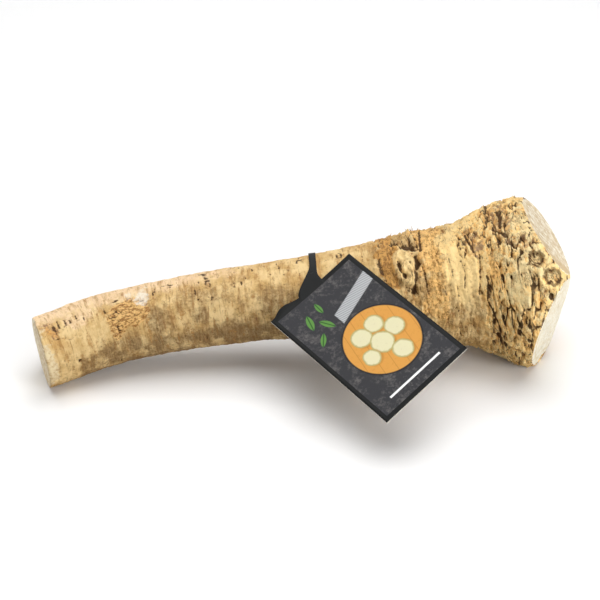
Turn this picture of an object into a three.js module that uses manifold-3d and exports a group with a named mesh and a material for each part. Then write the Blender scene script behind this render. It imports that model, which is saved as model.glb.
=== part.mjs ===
// A horseradish root lying on a flat surface, with a die-cut loop tag round its middle.
// Millimetres, +Z up. +X runs from the thin cut end to the crown, and -Y is the side that the tag hangs on.

import * as THREE from 'three';
import { mergeVertices } from 'three/addons/utils/BufferGeometryUtils.js';
import Module from 'manifold-3d';

// Root: stations along its spine, from the thin end to the crown. Each is a point and a radius.
const SPINE = [
  { x: -7, y: -34.8, z: 16, radius: 16.6 },
  { x: 8, y: -25, z: 16.4, radius: 16.8 },
  { x: 24, y: -17, z: 19, radius: 17 },
  { x: 42, y: -12, z: 21.8, radius: 17.1 },
  { x: 62, y: -9, z: 24.9, radius: 17.3 },
  { x: 85, y: -7.5, z: 28.3, radius: 17.7 },
  { x: 108, y: -6.7, z: 31.2, radius: 18.3 },
  { x: 130, y: -6.4, z: 33.2, radius: 20.3 },
  { x: 153, y: -5.6, z: 35, radius: 23.2 },
  { x: 170, y: -4, z: 36, radius: 25.8 },
  { x: 190, y: -2, z: 37, radius: 27.8 },
  { x: 201, y: -0.5, z: 37.5, radius: 30 },
  { x: 211, y: 0.5, z: 37.8, radius: 34.6 },
  { x: 220, y: 0.5, z: 38, radius: 38 },
  { x: 229, y: -0.5, z: 38, radius: 39.5 },
  { x: 237, y: -1, z: 38, radius: 37.5 },
  { x: 242.5, y: -1, z: 37.5, radius: 30 },
  { x: 245, y: -1, z: 37, radius: 20 },
  { x: 246, y: -1, z: 37, radius: 8 },
];
const ROOT_SIDES = 40;
const ROOT_RINGS = 51;
// The rings of the crown lean back by this much, and each ring faces along the spine over this stretch.
const CROWN_LEAN = 0.08;
const RING_STRETCH = 0.09;

// Swellings on the bark: where they sit (distance along x, degrees round from the top towards the tag's
// side), how high they stand and how far they reach.
const SWELLINGS = [
  { x: 169, turn: 45, height: 1.6, reach: 8 },
  { x: 176, turn: -32, height: 0.9, reach: 6 },
  { x: 206, turn: 30, height: 0.9, reach: 9 },
  { x: 222, turn: 100, height: 1.4, reach: 12 },
  { x: 226, turn: 208, height: 3.2, reach: 34 },
];
// The crown is lobed, not round: it has three lobes and two, each turned from the top. They grow in over
// this stretch.
const LOBES_START = 180;
const LOBES_FULL = 225;
const LOBE_DEPTH = 0.03;
const THREE_LOBES_TURN = THREE.MathUtils.degToRad(60);
const TWO_LOBES_TURN = THREE.MathUtils.degToRad(75);

// Knife cuts: a point on each and the direction that it faces.
const THIN_CUT = { point: [2.3, -29, 16.6], faces: [-0.935, -0.34, -0.08] };
const UPPER_CROWN_CUT = { point: [234.6, 2, 64], faces: [0.76, 0.026, 0.65] };
const LOWER_CROWN_CUT = { point: [248.5, -1.5, 25], faces: [0.852, -0.468, -0.233] };
// The root lies on two worn flats, one under each end.
const RESTING_CUT = { point: [125, 0, 0], faces: [0, 0, -1] };
const CUTTER_SIZE = 300;

// Loop tag: a card, a neck that narrows from the card's upper edge, and a strap that goes round the root.
const CARD_WIDTH = 49;
const CARD_LENGTH = 75;
const CARD_THICKNESS = 0.6;
const CARD_UPPER_EDGE = new THREE.Vector3(126.7, -24.1, 48.3);
const CARD_FACES = new THREE.Vector3(-0.166, -0.456, 0.875).normalize();
const CARD_HANGS = new THREE.Vector3(0.666, -0.706, -0.242).normalize();
// The strap pulls the middle of the card's upper edge in towards the root by this much.
const CARD_DIP = 1;
const CARD_DIP_LENGTH = 14;
const CARD_STEPS_ACROSS = 12;
const CARD_STEPS_DOWN = 16;
const STRAP_X = 129.5;
const STRAP_WIDTH = 3.3;
const STRAP_THICKNESS = 0.5;
const STRAP_GAP = 0.6;
const STRAP_SIDES = 48;
// The neck starts a little narrower than the strap, inside its edges.
const NECK_START_WIDTH = 3.1;
const NECK_WIDTH = 14;
const NECK_LENGTH = 11;
const NECK_STARTS = THREE.MathUtils.degToRad(16);
const NECK_ENDS = THREE.MathUtils.degToRad(49);
const NECK_RISE = 1;
const NECK_START_RISE = 0.05;
const NECK_OVERLAP = 0.8;
const NECK_STEPS_ACROSS = 6;
const NECK_STEPS_ALONG = 10;

// The group's origin: below the middle of the whole object's box, on the surface that it lies on.
const ORIGIN = new THREE.Vector3(121.7, -25, 0);

const UP = new THREE.Vector3(0, 0, 1);
// Vertices nearer than this are one vertex.
const MERGE_WITHIN = 1e-4;
const ALONG_TOLERANCE = 1e-6;
const spine = smoothCurve(SPINE.map((s) => new THREE.Vector3(s.x, s.y, s.z)));
const girth = smoothCurve(SPINE.map((s) => new THREE.Vector3(s.radius, 0, 0)));

const wasm = await Module();
wasm.setup();

function smoothCurve(points) {
  return new THREE.CatmullRomCurve3(points, false, 'catmullrom', 0.5);
}

function toSolid(geometry) {
  const bare = geometry.clone();
  bare.deleteAttribute('normal');
  bare.deleteAttribute('uv');
  const merged = mergeVertices(bare, MERGE_WITHIN);
  return new wasm.Manifold(
    new wasm.Mesh({
      numProp: 3,
      vertProperties: new Float32Array(merged.attributes.position.array),
      triVerts: new Uint32Array(merged.index.array),
    })
  );
}

function toGeometry(solid) {
  const mesh = solid.getMesh();
  const geometry = new THREE.BufferGeometry();
  geometry.setAttribute('position', new THREE.BufferAttribute(new Float32Array(mesh.vertProperties), 3));
  geometry.setIndex(new THREE.BufferAttribute(new Uint32Array(mesh.triVerts), 1));
  geometry.computeVertexNormals();
  return geometry;
}

// Moves every vertex of a geometry to where a function of its old place puts it.
function reshape(geometry, place) {
  const position = geometry.attributes.position;
  const vertex = new THREE.Vector3();
  for (let i = 0; i < position.count; i += 1) {
    vertex.fromBufferAttribute(position, i);
    const moved = place(vertex);
    position.setXYZ(i, moved.x, moved.y, moved.z);
  }
  return geometry;
}

// The frame that a ring of the root lies in: its centre, and the directions of its top and its tag side.
function ringFrame(t) {
  const centre = spine.getPoint(t);
  const ahead = spine.getPoint(Math.min(t + RING_STRETCH, 1));
  ahead.sub(spine.getPoint(Math.max(t - RING_STRETCH, 0))).normalize();
  ahead.z += CROWN_LEAN * THREE.MathUtils.smoothstep(centre.x, LOBES_START, LOBES_FULL);
  const side = new THREE.Vector3().crossVectors(ahead, UP).normalize();
  const top = new THREE.Vector3().crossVectors(side, ahead).normalize();
  return { centre, side, top };
}

function swelling(x, turn, radius) {
  let height = 0;
  for (const bump of SWELLINGS) {
    const turnedBy = turn - THREE.MathUtils.degToRad(bump.turn);
    const alongBy = x - bump.x;
    const roundBy = Math.atan2(Math.sin(turnedBy), Math.cos(turnedBy)) * radius;
    height += bump.height * Math.exp(-2 * (alongBy ** 2 + roundBy ** 2) / bump.reach ** 2);
  }
  return height;
}

function rootRadius(t, turn) {
  const x = spine.getPoint(t).x;
  const radius = girth.getPoint(t).x;
  const lobed = THREE.MathUtils.smoothstep(x, LOBES_START, LOBES_FULL) * LOBE_DEPTH;
  const threeLobes = Math.cos(3 * (turn + THREE_LOBES_TURN));
  const twoLobes = Math.cos(2 * (turn + TWO_LOBES_TURN));
  return radius * (1 + lobed * (threeLobes + twoLobes)) + swelling(x, turn, radius);
}

function rootPoint(t, turn, share = 1, beyond = 0) {
  const { centre, side, top } = ringFrame(t);
  const reach = (rootRadius(t, turn) + beyond) * share;
  return centre.addScaledVector(top, Math.cos(turn) * reach).addScaledVector(side, Math.sin(turn) * reach);
}

// A box that takes away everything past a plane.
function cutter({ point, faces }) {
  const direction = new THREE.Vector3(...faces).normalize();
  const box = new THREE.BoxGeometry(CUTTER_SIZE, CUTTER_SIZE, CUTTER_SIZE);
  box.translate(0, 0, CUTTER_SIZE / 2);
  box.applyQuaternion(new THREE.Quaternion().setFromUnitVectors(UP, direction));
  box.translate(...point);
  return toSolid(box);
}

function makeRoot() {
  const bar = new THREE.CylinderGeometry(1, 1, 1, ROOT_SIDES, ROOT_RINGS);
  reshape(bar, (v) => rootPoint(v.y + 0.5, Math.atan2(v.x, v.z), Math.hypot(v.x, v.z)));
  let root = toSolid(bar);
  for (const cut of [THIN_CUT, UPPER_CROWN_CUT, LOWER_CROWN_CUT, RESTING_CUT]) {
    root = root.subtract(cutter(cut));
  }
  return toGeometry(root);
}

// How far along the spine, from 0 to 1, it reaches a given x.
function alongAt(x) {
  let low = 0;
  let high = 1;
  while (high - low > ALONG_TOLERANCE) {
    const middle = (low + high) / 2;
    if (spine.getPoint(middle).x < x) {
      low = middle;
    } else {
      high = middle;
    }
  }
  return low;
}

const strapAlong = alongAt(STRAP_X);

// A point of the strap's middle surface, carried on past its edges for the neck.
function strapPoint(turn, across, out) {
  const { side, top } = ringFrame(strapAlong);
  const ahead = new THREE.Vector3().crossVectors(top, side);
  const beyond = STRAP_GAP + STRAP_THICKNESS / 2 + out;
  return rootPoint(strapAlong, turn, 1, beyond).addScaledVector(ahead, across);
}

// A point of the card: across it from its middle, down it from its upper edge, and out of its face.
function cardPoint(across, down, out) {
  const right = new THREE.Vector3().crossVectors(CARD_FACES, CARD_HANGS).normalize();
  const below = new THREE.Vector3().crossVectors(right, CARD_FACES);
  const fade = Math.exp(-((Math.max(down, 0) / CARD_DIP_LENGTH) ** 2));
  const dip = CARD_DIP * fade * Math.max(1 - (2 * across / CARD_WIDTH) ** 2, 0);
  return CARD_UPPER_EDGE.clone()
    .addScaledVector(right, across)
    .addScaledVector(below, down)
    .addScaledVector(CARD_FACES, out - dip);
}

function makeStrap() {
  const { centre, side, top } = ringFrame(strapAlong);
  const ahead = new THREE.Vector3().crossVectors(top, side);
  const outline = (beyond) => {
    const points = [];
    for (let i = 0; i < STRAP_SIDES; i += 1) {
      const turn = (2 * Math.PI * i) / STRAP_SIDES;
      const reach = rootRadius(strapAlong, turn) + beyond;
      points.push(new THREE.Vector2(Math.cos(turn) * reach, Math.sin(turn) * reach));
    }
    return points;
  };
  const shape = new THREE.Shape(outline(STRAP_GAP + STRAP_THICKNESS));
  shape.holes.push(new THREE.Path(outline(STRAP_GAP)));
  const strap = new THREE.ExtrudeGeometry(shape, { depth: STRAP_WIDTH, bevelEnabled: false });
  strap.translate(0, 0, -STRAP_WIDTH / 2);
  strap.applyMatrix4(new THREE.Matrix4().makeBasis(top, side, ahead).setPosition(centre));
  return strap;
}

function makeCard() {
  const steps = [CARD_STEPS_ACROSS, CARD_STEPS_DOWN, 1];
  const card = new THREE.BoxGeometry(CARD_WIDTH, CARD_LENGTH, CARD_THICKNESS, ...steps);
  return reshape(card, (v) => cardPoint(v.x, CARD_LENGTH / 2 - v.y, v.z));
}

// The neck starts as the strap and ends as part of the card, flaring with hollow sides between them.
function makeNeck() {
  const neck = new THREE.BoxGeometry(1, 1, STRAP_THICKNESS, NECK_STEPS_ACROSS, NECK_STEPS_ALONG, 1);
  return reshape(neck, (v) => {
    const toCard = 0.5 - v.y;
    const width = THREE.MathUtils.lerp(NECK_START_WIDTH, NECK_WIDTH, toCard ** 2);
    const turn = THREE.MathUtils.lerp(NECK_STARTS, NECK_ENDS, toCard);
    const down = NECK_OVERLAP - (1 - toCard) * NECK_LENGTH;
    const rise = NECK_START_RISE + NECK_RISE * toCard;
    const onStrap = strapPoint(turn, v.x * width, v.z + rise);
    const onCard = cardPoint(v.x * width, down, v.z);
    return onStrap.lerp(onCard, THREE.MathUtils.smoothstep(toCard, 0, 1));
  });
}

function makeTag() {
  return toGeometry(toSolid(makeStrap()).add(toSolid(makeNeck())).add(toSolid(makeCard())));
}

const root = new THREE.Mesh(
  makeRoot(),
  new THREE.MeshStandardMaterial({ color: 0xc39a5f, roughness: 0.85, metalness: 0 })
);
root.name = 'horseradish_root';

const tag = new THREE.Mesh(
  makeTag(),
  new THREE.MeshStandardMaterial({ color: 0x32303c, roughness: 0.5, metalness: 0 })
);
tag.name = 'loop_tag';

const group = new THREE.Group();
group.add(root, tag);
group.position.copy(ORIGIN).negate();

export default group;
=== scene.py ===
# %% [markdown]
# # A horseradish root with a loop tag
#
# The object is a horseradish root, about 25 cm long, that lies on its side. A knife has trimmed its
# thin end and its knobbly crown, and a tag of die-cut card is looped round its middle. The frame
# already holds both pieces as plain solids of the right size. This lesson makes the pieces that are
# seen: the bark with its ridges, scars and cut faces, a few dry rootlets, and the thin printed
# card.

from math import cos, pi, radians, sin

import bmesh
import bpy
import numpy as np
from mathutils import Matrix, Vector, noise


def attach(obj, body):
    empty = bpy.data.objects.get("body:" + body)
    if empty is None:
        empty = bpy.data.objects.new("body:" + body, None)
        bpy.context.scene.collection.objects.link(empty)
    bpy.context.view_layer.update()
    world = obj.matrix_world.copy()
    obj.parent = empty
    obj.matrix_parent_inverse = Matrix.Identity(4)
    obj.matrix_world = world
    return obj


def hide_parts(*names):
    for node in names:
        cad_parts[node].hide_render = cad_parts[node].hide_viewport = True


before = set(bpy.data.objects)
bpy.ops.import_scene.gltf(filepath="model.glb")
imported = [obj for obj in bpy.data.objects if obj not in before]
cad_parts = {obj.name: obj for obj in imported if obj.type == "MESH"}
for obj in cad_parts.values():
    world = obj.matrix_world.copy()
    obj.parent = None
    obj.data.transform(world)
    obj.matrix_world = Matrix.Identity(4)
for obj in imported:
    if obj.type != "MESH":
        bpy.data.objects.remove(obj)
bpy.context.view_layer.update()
MM = 0.001

# %% [markdown]
# ## The camera
#
# A long lens from two thirds of a metre away looks down on the root at thirty degrees. It keeps the
# two ends at nearly one scale, so that the nearer one doesn't swell.

# %% The camera
CAMERA_LOOKS_AT = Vector((0.3, 30, 25)) * MM
CAMERA_RAISED = radians(30)
CAMERA_AWAY = 680 * MM
CAMERA_LENS, CAMERA_SENSOR = 85, 36


def add_object(name, data):
    made = bpy.data.objects.new(name, data)
    bpy.context.collection.objects.link(made)
    return made


def stand_facing(thing, place, target):
    """Stands a camera or a lamp at a place, facing a target."""
    thing.location = place
    thing.rotation_mode = "QUATERNION"
    thing.rotation_quaternion = (target - place).to_track_quat("-Z", "Y")


lens = bpy.data.cameras.new("camera")
lens.lens = CAMERA_LENS
lens.sensor_width = CAMERA_SENSOR
camera = add_object("camera", lens)
back = Vector((0, -cos(CAMERA_RAISED), sin(CAMERA_RAISED)))
stand_facing(camera, CAMERA_LOOKS_AT + back * CAMERA_AWAY, CAMERA_LOOKS_AT)
bpy.context.scene.camera = camera
print("camera at", [round(c, 3) for c in camera.location])

# %% [markdown]
# ## Writing shaders as expressions
#
# A finish is a small sum: so much of this colour where that mask is high. Nodes can be wired one by
# one, but the sum is then hard to read. Here a Wire wraps a node's output, and Python's operators
# on it add Math nodes. A Board holds one node tree, and its node method makes any other node from a
# type, its settings and its inputs.


# %% A wire and its operators
class Wire:
    """A node's output, on which Python's operators add Math nodes."""

    def __init__(self, board, socket):
        self.board = board
        self.socket = socket

    def __add__(self, other):
        return self.board.math("ADD", self, other)

    def __sub__(self, other):
        return self.board.math("SUBTRACT", self, other)

    def __rsub__(self, other):
        return self.board.math("SUBTRACT", other, self)

    def __mul__(self, other):
        return self.board.math("MULTIPLY", self, other)

    def __abs__(self):
        return self.board.math("ABSOLUTE", self)

    __radd__ = __add__
    __rmul__ = __mul__

    def other(self, output):
        """Another output of the same node."""
        return Wire(self.board, self.socket.node.outputs[output])


# %% A board of nodes
class Board:
    """A node tree that is written as expressions."""

    def __init__(self, tree):
        self.tree = tree

    def node(self, kind, settings=None, inputs=None, output=0):
        """A node of a type such as Math. Its settings are made before its inputs."""
        made = self.tree.nodes.new("ShaderNode" + kind)
        for name, value in (settings or {}).items():
            setattr(made, name, value)
        self.feed(made, inputs or {})
        return Wire(self, made.outputs[output])

    def feed(self, node, inputs):
        """Links wires to their sockets, and sets other values on the sockets."""
        for name, value in inputs.items():
            if isinstance(value, Wire):
                self.tree.links.new(value.socket, node.inputs[name])
            else:
                node.inputs[name].default_value = value

    def math(self, operation, *values):
        return self.node("Math", {"operation": operation}, dict(enumerate(values)))

    def vector(self, operation, *values):
        return self.node("VectorMath", {"operation": operation}, dict(enumerate(values)))

    def highest(self, first, *others):
        for other in others:
            first = self.math("MAXIMUM", first, other)
        return first

    def ramp(self, value, low, high):
        """0 where value is at low, 1 where it is at high, and smooth between."""
        inputs = {"Value": value, "From Min": low, "From Max": high}
        return self.node("MapRange", {"interpolation_type": "SMOOTHSTEP"}, inputs)

    def blend(self, share, first, second):
        """The colour first where share is 0, and second where it is 1."""
        inputs = {0: share, 6: first, 7: second}
        return self.node("Mix", {"data_type": "RGBA"}, inputs, output=2)

    def attribute(self, name, output="Fac"):
        return self.node("Attribute", {"attribute_name": name}, output=output)

    def noise(self, place, size, detail=2.0, roughness=0.5):
        """Noise from 0 to 1, with its size in the units of place."""
        inputs = {"Vector": place, "Scale": 1 / size, "Detail": detail, "Roughness": roughness}
        return self.node("TexNoise", inputs=inputs)


# %% Colours and finishes
def colour(code):
    """A screen's colour code as the linear values that a shader takes."""
    shares = [value / 255 for value in bytes.fromhex(code)]
    return tuple(s / 12.92 if s < 0.04045 else ((s + 0.055) / 1.055) ** 2.4 for s in shares) + (1.0,)


def new_finish(name, **fixed):
    """A material, its board and its shader, with fixed values on the shader's sockets."""
    material = bpy.data.materials.new(name)
    material.use_nodes = True
    shader = material.node_tree.nodes["Principled BSDF"]
    board = Board(material.node_tree)
    board.feed(shader, {socket.replace("_", " "): value for socket, value in fixed.items()})
    return material, board, shader


# %% [markdown]
# ## The bark's base shape
#
# The root is a bent taper with a bulb at one end. It could be sculpted from a sphere, but then
# nothing would say how far along or how far round a scar is. Instead a flat grid is rolled into a
# tube round a curved spine. Every vertex keeps its two addresses: millimetres along the root and
# degrees round it, from the top towards the tag. The spine's points and radii are the frame's own.

# %% The spine
PART_ORIGIN = np.array([121.7, -25, 0])
SPINE = np.array([
    (-7, -34.8, 16, 16.6),
    (8, -25, 16.4, 16.8),
    (24, -17, 19, 17),
    (42, -12, 21.8, 17.1),
    (62, -9, 24.9, 17.3),
    (85, -7.5, 28.3, 17.7),
    (108, -6.7, 31.2, 18.3),
    (130, -6.4, 33.2, 20.3),
    (153, -5.6, 35, 23.2),
    (170, -4, 36, 25.8),
    (190, -2, 37, 27.8),
    (201, -0.5, 37.5, 30),
    (211, 0.5, 37.8, 34.6),
    (220, 0.5, 38, 38),
    (229, -0.5, 38, 39.5),
    (237, -1, 38, 37.5),
    (242.5, -1, 37.5, 30),
    (245, -1, 37, 20),
    (246, -1, 37, 8),
])
SWELLINGS = [
    (169, 45, 1.6, 8), (176, -32, 0.9, 6), (206, 30, 0.9, 9),
    (222, 100, 1.4, 12), (226, 208, 3.2, 34),
]
LOBES_START, LOBES_FULL, LOBE_DEPTH = 180, 225, 0.03
THREE_LOBES_TURN, TWO_LOBES_TURN = radians(60), radians(75)
CROWN_LEAN = 0.08
RING_STRETCH = 0.09
UP = np.array([0, 0, 1.0])


def smooth(value, low, high):
    """A smooth step from 0 at low to 1 at high. Low may be the higher of the two."""
    share = np.clip((value - low) / (high - low), 0, 1)
    return share * share * (3 - 2 * share)


def bell(value, middle, width):
    """1 at the middle, and falling to 0 on both sides."""
    return np.exp(-(((value - middle) / width) ** 2))


def unit(vectors):
    return vectors / np.linalg.norm(vectors, axis=-1, keepdims=True)


def curve_between(start, end, leave, arrive, share):
    """A smooth curve from start to end that leaves and arrives the given ways."""
    cubic = (2 * start - 2 * end + leave + arrive) * share**3
    return cubic + (3 * end - 3 * start - 2 * leave - arrive) * share**2 + leave * share + start


def spine_at(t):
    """Place and radius on the smooth curve through the spine's points, for t from 0 to 1."""
    ends = np.vstack([2 * SPINE[0] - SPINE[1], SPINE, 2 * SPINE[-1] - SPINE[-2]])
    index = np.clip(t, 0, 1) * (len(SPINE) - 1)
    step = np.minimum(index.astype(int), len(SPINE) - 2)
    before, here, there, after = (ends[step + k] for k in range(4))
    return curve_between(here, there, (there - before) / 2, (after - here) / 2, (index - step)[:, None])


SPINE_T = np.linspace(0, 1, 800)
spine_table = spine_at(SPINE_T)


def t_at(x):
    """t on the spine where it passes x."""
    return np.interp(x, spine_table[:, 0], SPINE_T)


# %% A ring of the root
def ring_frame(t):
    """Centre, radius, and the directions of a ring's top, its tag side and the way ahead."""
    spine = spine_at(t)
    ahead = unit(spine_at(t + RING_STRETCH)[:, :3] - spine_at(t - RING_STRETCH)[:, :3])
    ahead[:, 2] += CROWN_LEAN * smooth(spine[:, 0], LOBES_START, LOBES_FULL)
    side = unit(np.cross(ahead, UP))
    top = unit(np.cross(side, ahead))
    return spine[:, :3], spine[:, 3], top, side, np.cross(top, side)


def wrapped(angle):
    return np.arctan2(np.sin(angle), np.cos(angle))


def skin_radius(x, radius, turn):
    """How far the skin stands from the spine, with the crown's lobes and the swellings."""
    lobes = np.cos(3 * (turn + THREE_LOBES_TURN)) + np.cos(2 * (turn + TWO_LOBES_TURN))
    reach = radius * (1 + LOBE_DEPTH * smooth(x, LOBES_START, LOBES_FULL) * lobes)
    for at, round_to, height, spread in SWELLINGS:
        sideways = wrapped(turn - radians(round_to)) * radius
        reach = reach + height * np.exp(-2 * ((x - at) ** 2 + sideways**2) / spread**2)
    return reach


# %% Roll a grid into the root
BARK_SIDES = 160
BARK_RINGS = 400
FINE_FROM = 165  # where the fine rings start, along the spine
COARSE_RINGS = 0.46  # the share of the rings that lies before it


def ring_stations(walk):
    """t on the spine and the share of the radius, for rings that lie closer together on the crown."""
    fine = np.linspace(0, 1, 2000)
    spine = spine_at(fine)
    steps = np.hypot(np.diff(spine[:, 0]), np.diff(spine[:, 3]))
    reached = np.concatenate([[0], np.cumsum(steps)])
    first, last = spine[0, 3], spine[-1, 3]
    whole = first + reached[-1] + last
    crown = first + np.interp(FINE_FROM, spine[:, 0], reached)
    distance = np.interp(walk, [0, COARSE_RINGS, 1], [0, crown, whole])
    share = np.minimum(distance / first, (whole - distance) / last)
    return np.interp(distance - first, reached, fine), np.clip(share, 0, 1)


def bark_places(walk, turn, relief=0):
    """The skin's places in the row frame, with relief added, all in millimetres."""
    t, share = ring_stations(walk)
    centre, radius, top, side, _ = ring_frame(t)
    out = top * np.cos(turn)[:, None] + side * np.sin(turn)[:, None]
    reach = skin_radius(centre[:, 0], radius, turn) + relief
    return centre + out * (reach * share)[:, None] - PART_ORIGIN


def make_bark_grid():
    """A grid rolled round the spine and closed, with twice the sides on the crown."""
    bark = bmesh.new()
    bmesh.ops.create_grid(bark, x_segments=BARK_RINGS, y_segments=BARK_SIDES, size=0.5)
    fine_from = COARSE_RINGS - 0.5
    round_edges = [
        edge
        for edge in bark.edges
        if edge.verts[0].co.x > fine_from and abs(edge.verts[0].co.x - edge.verts[1].co.x) < 1e-6
    ]
    bmesh.ops.subdivide_edges(bark, edges=round_edges, cuts=1, use_grid_fill=True)
    bmesh.ops.triangulate(bark, faces=[face for face in bark.faces if len(face.verts) > 4])
    walk_layer = bark.verts.layers.float.new("walk")
    turn_layer = bark.verts.layers.float.new("turn")
    for vertex in bark.verts:
        vertex[walk_layer] = vertex.co.x + 0.5
        vertex[turn_layer] = vertex.co.y * 2 * pi
    move_to(bark, bark_places(*read_layers(bark)))
    bmesh.ops.remove_doubles(bark, verts=bark.verts, dist=1e-6)
    bmesh.ops.recalc_face_normals(bark, faces=bark.faces)
    return bark


def read_layers(bark):
    layers = bark.verts.layers.float
    return tuple(np.array([vertex[layers[name]] for vertex in bark.verts]) for name in ("walk", "turn"))


def move_to(mesh, places):
    """Moves a bmesh's vertices to places in millimetres."""
    for vertex, place in zip(mesh.verts, (places * MM).tolist()):
        vertex.co = place


bark = make_bark_grid()
walk, turn = read_layers(bark)
bare = bark_places(walk, turn)
print("bark:", len(bark.verts), "vertices,", len(bark.faces), "faces")

# %% [markdown]
# ## Reading the skin as a map
#
# A scar is easiest to place on a flat map of the skin: along it in millimetres, and round it in
# degrees. These helpers measure on that map. Noise is read from the straightened root, a tube with
# no bend, so that its grain follows the root. Stretched one way it makes wrinkles that run round,
# as a horseradish root has.

# %% Addresses of the vertices
SEED_STEP = 17.3
station, share = ring_stations(walk)
centre, girth, *_ = ring_frame(station)
along = centre[:, 0]
reach = skin_radius(along, girth, turn)
straight = np.column_stack([along, reach * share * np.cos(turn), reach * share * np.sin(turn)])


def in_units(size, seed):
    """Places on the straightened root, in units of one size, or of one along and one round."""
    along_size, round_size = (size, size) if np.isscalar(size) else size
    return (straight / [along_size, round_size, round_size] + SEED_STEP * seed).tolist()


def noise_on(size, octaves=3, seed=0):
    """Noise from about -1 to 1 on the skin, with its size in millimetres."""
    return np.array([noise.fractal(place, 1.0, 2.0, octaves) for place in in_units(size, seed)])


def cells_on(size, seed=0):
    """Distances to the nearest two of scattered points, in units of size."""
    distances = np.array([noise.voronoi(place)[0][:2] for place in in_units(size, seed)])
    return distances[:, 0], distances[:, 1]


def away(at, degrees):
    """Millimetres along and round from an address to every vertex."""
    return along - at, wrapped(turn - radians(degrees)) * reach


ragged = noise_on(5, seed=1)
ragged_fine = noise_on(2, seed=2)


# %% Patches and grooves
def most(*masks):
    """The highest of several masks at each vertex."""
    return np.maximum.reduce(masks)


def patch(at, degrees, long, wide, edge=0.3, torn=0.35, tilt=0):
    """1 in an oval patch, 0 outside, with a soft, torn edge."""
    dx, dy = away(at, degrees)
    lean = radians(tilt)
    dx, dy = dx * cos(lean) + dy * sin(lean), dy * cos(lean) - dx * sin(lean)
    distance = np.hypot(2 * dx / long, 2 * dy / wide) + torn * (ragged + 0.5 * ragged_fine)
    return smooth(distance, 1 + edge, 1 - edge)


def groove(path, width, torn=0.4):
    """1 in the middle of a line drawn through addresses, fading to 0 at its edges."""
    nearest = np.full(len(along), 1e9)
    for (x0, a0), (x1, a1) in zip(path, path[1:]):
        dx, dy = away(x0, a0)
        radius = np.interp(x0, spine_table[:, 0], spine_table[:, 3])
        step_x, step_y = x1 - x0, radians(a1 - a0) * radius
        share_of = np.clip((dx * step_x + dy * step_y) / (step_x**2 + step_y**2 + 1e-9), 0, 1)
        nearest = np.minimum(nearest, np.hypot(dx - share_of * step_x, dy - share_of * step_y))
    return smooth(nearest + torn * ragged_fine, width / 2 * (1 + 0.7 * ragged), 0)

# %% [markdown]
# ## Relief on the thin part
#
# Near the thin end the skin is smooth. It has faint wrinkles that run round, short slits where side
# rootlets broke off, ringed corky spots, and one patch where the skin has flaked into crumbs. All
# of it is height in millimetres, added up vertex by vertex, and each dark slit is also kept as a
# mask for the finish.

# %% Wrinkles and lumps
ROUGH_FROM, ROUGH_FULL = 196, 212
LUMP_HEIGHT, WRINKLE_HEIGHT, STREAK_HEIGHT = 0.3, 0.25, 0.2
rough = most(
    smooth(along + 5 * ragged + 2 * ragged_fine, ROUGH_FROM, ROUGH_FULL),
    patch(201, 14, 14, 28, torn=0.8),
)
streaks = noise_on((1.3, 8), octaves=2, seed=5)
relief = LUMP_HEIGHT * noise_on(24, seed=3) + WRINKLE_HEIGHT * noise_on((5, 12), seed=4)
relief += STREAK_HEIGHT * (1 - rough) * streaks
slits = np.zeros(len(along))

# %% Slits and holes in the thin part
LONG_SLITS = [
    ([(10, 12), (10.5, 24), (11, 40), (11.5, 50)], 0.9),
    ([(8, 22), (8.5, 38)], 1.4),
    ([(5, 44), (9, 45)], 1),
    ([(76.5, -18), (79.5, -8), (80, 6)], 2.3),
    ([(80.5, 4), (80.5, 24)], 2.2),
    ([(82, 18), (82.5, 26)], 2),
    ([(82, 34), (82.5, 46)], 2.4),
    ([(69, 122), (70, 132)], 1),
    ([(74.5, 16), (75, 30), (76, 44)], 0.7),
    ([(96, 16), (97, 34)], 0.8),
    ([(158.6, 18), (158.8, 40)], 2.2),
    ([(31.5, 24), (32.5, 36), (33.5, 50)], 1.2),
    ([(34, 18), (39, 14)], 1),
    ([(60, 4), (64, 3.5)], 1),
    ([(64.5, 5), (67.5, 6)], 1),
    ([(55, 12), (55.5, 20)], 1.1),
    ([(142, -4), (143, 8)], 1.4),
    ([(113, -4), (114, 9)], 1),
    ([(122.6, 14), (123, 27)], 1.5),
    ([(122, -6), (122.4, 3)], 1),
    ([(124.6, -8), (125, 5)], 1.1),
    ([(101.6, 0), (102.4, 10)], 1.1),
    ([(140.6, 0), (141.2, 8)], 1.5),
]
SHORT_SLITS = [
    (13, 22), (15.5, 26), (18, 20), (21, 26), (24, 38), (56, 6), (56.5, 18), (63, 4), (62, 24),
]
SCATTERED_SLITS = [
    (26, 88, 128, -35, 30), (12, 132, 157, -30, 45), (40, 12, 160, 140, 325),
    (14, 30, 120, 60, 130), (9, 77, 84, -20, 50),
]


def scatter_slits(count, low, high, first, last, seed):
    """Short slits at seeded places between two stations and two turns."""
    picks = np.random.RandomState(seed)
    for _ in range(count):
        at, degrees = picks.uniform(low, high), picks.uniform(first, last)
        half, width = picks.uniform(3, 8), picks.uniform(0.6, 1.0)
        path = [(at, degrees - half), (at + picks.uniform(-0.6, 0.6), degrees + half)]
        np.maximum(slits, picks.uniform(0.4, 0.9) * groove(path, width), out=slits)


for path, width in LONG_SLITS:
    slits = most(slits, groove(path, 1.3 * width) * (0.7 + 0.3 * smooth(ragged, -0.2, 0.3)))
for at, degrees in SHORT_SLITS:
    slits = most(slits, 0.8 * groove([(at, degrees - 5), (at + 0.6, degrees + 6)], 0.9))
for seed, spread in enumerate(SCATTERED_SLITS, start=1):
    scatter_slits(*spread, seed)


# %% Rings and pits
def ring(at, degrees, radius, width, stretch=1.0, torn=0.25):
    """1 on a ring round an address, stretched round the root."""
    dx, dy = away(at, degrees)
    distance = np.hypot(dx, dy / stretch) + torn * (ragged_fine + 0.5 * ragged)
    return bell(distance, radius, width)


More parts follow.
